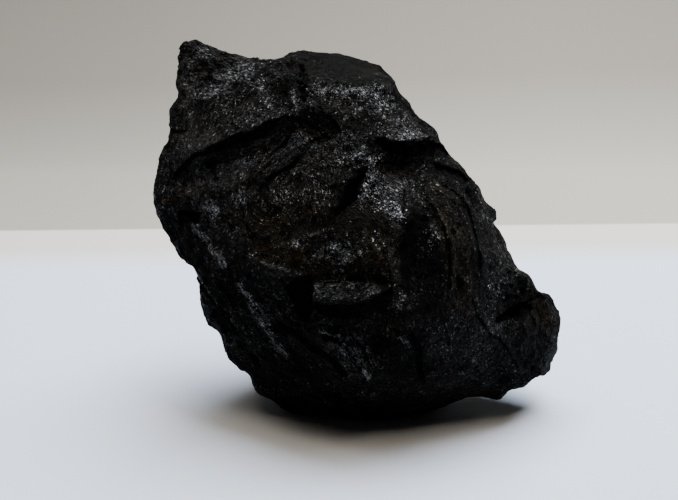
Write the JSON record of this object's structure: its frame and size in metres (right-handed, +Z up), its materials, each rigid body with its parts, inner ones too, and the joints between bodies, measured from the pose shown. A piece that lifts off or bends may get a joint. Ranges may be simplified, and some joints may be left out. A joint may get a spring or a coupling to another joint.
{
  "type": "gilsonite lump",
  "caption": "Hand-sized raw lump of gilsonite, a glossy black natural asphalt, with a horned top, stepped ledges and shell-like fractures, resting on its worn base.",
  "frame": {"origin": "on the resting surface, under the middle of the lump's box", "axes": "+X to the lump's right seen from its front, +Y away from the front, +Z up from the flat base"},
  "size_m": [0.1118, 0.0846, 0.1009],
  "materials": {
    "gilsonite": "near-black bitumen, soft gloss on fresh breaks, dull brown dust in the hollows"
  },
  "bodies": {
    "root": {"gilsonite_lump": "gilsonite"}
  },
  "joints": []
}
